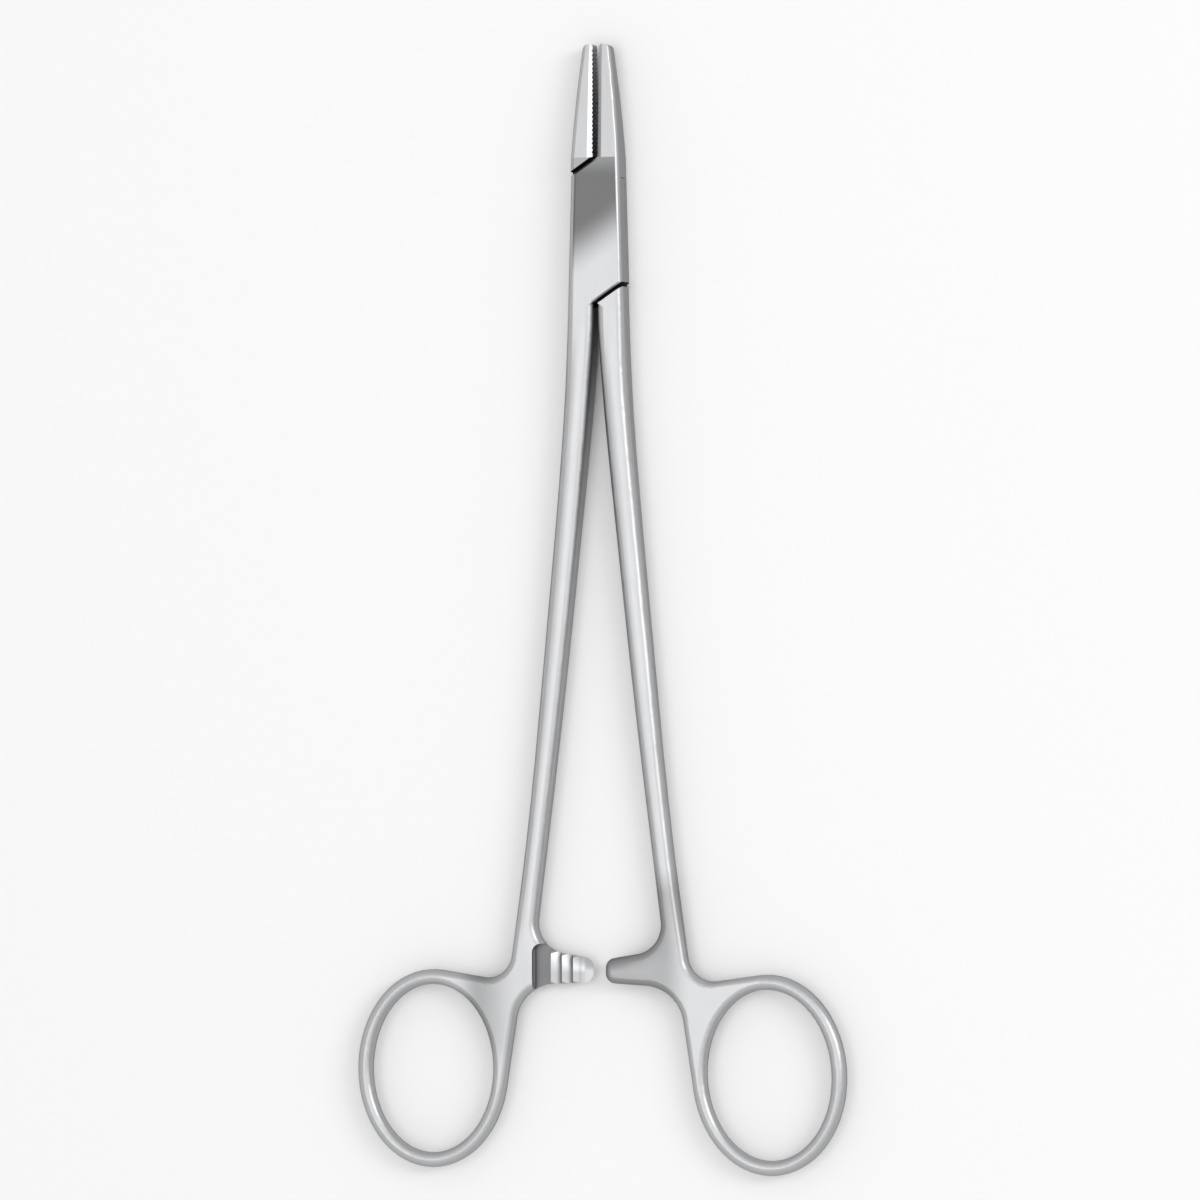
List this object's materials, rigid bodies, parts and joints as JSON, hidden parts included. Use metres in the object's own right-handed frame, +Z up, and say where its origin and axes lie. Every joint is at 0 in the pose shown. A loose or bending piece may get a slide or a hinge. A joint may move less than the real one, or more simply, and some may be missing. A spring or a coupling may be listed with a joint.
{
  "type": "surgical needle holder",
  "caption": "Ring-handled surgical needle holder with a box lock, serrated jaws and a ratchet, lying flat.",
  "frame": {"origin": "pivot axis, on the back face of the box lock", "axes": "+Y along the instrument towards the jaws, +Z up out of the front face, +X to the right seen from the front"},
  "size_m": [0.0812, 0.1791, 0.005],
  "materials": {
    "satin_steel": "satin-polished stainless steel"
  },
  "bodies": {
    "box_side": {"box_half": "satin_steel", "pivot_pin": "satin_steel"},
    "tongue_side": {"tongue_half": "satin_steel"}
  },
  "joints": [
    {"name": "box_lock", "type": "hinge", "parent": "box_side", "child": "tongue_side", "pos_m": [0, 0, 0.0025], "axis": [0, 0, 1], "range_deg": [-2, 25]}
  ]
}
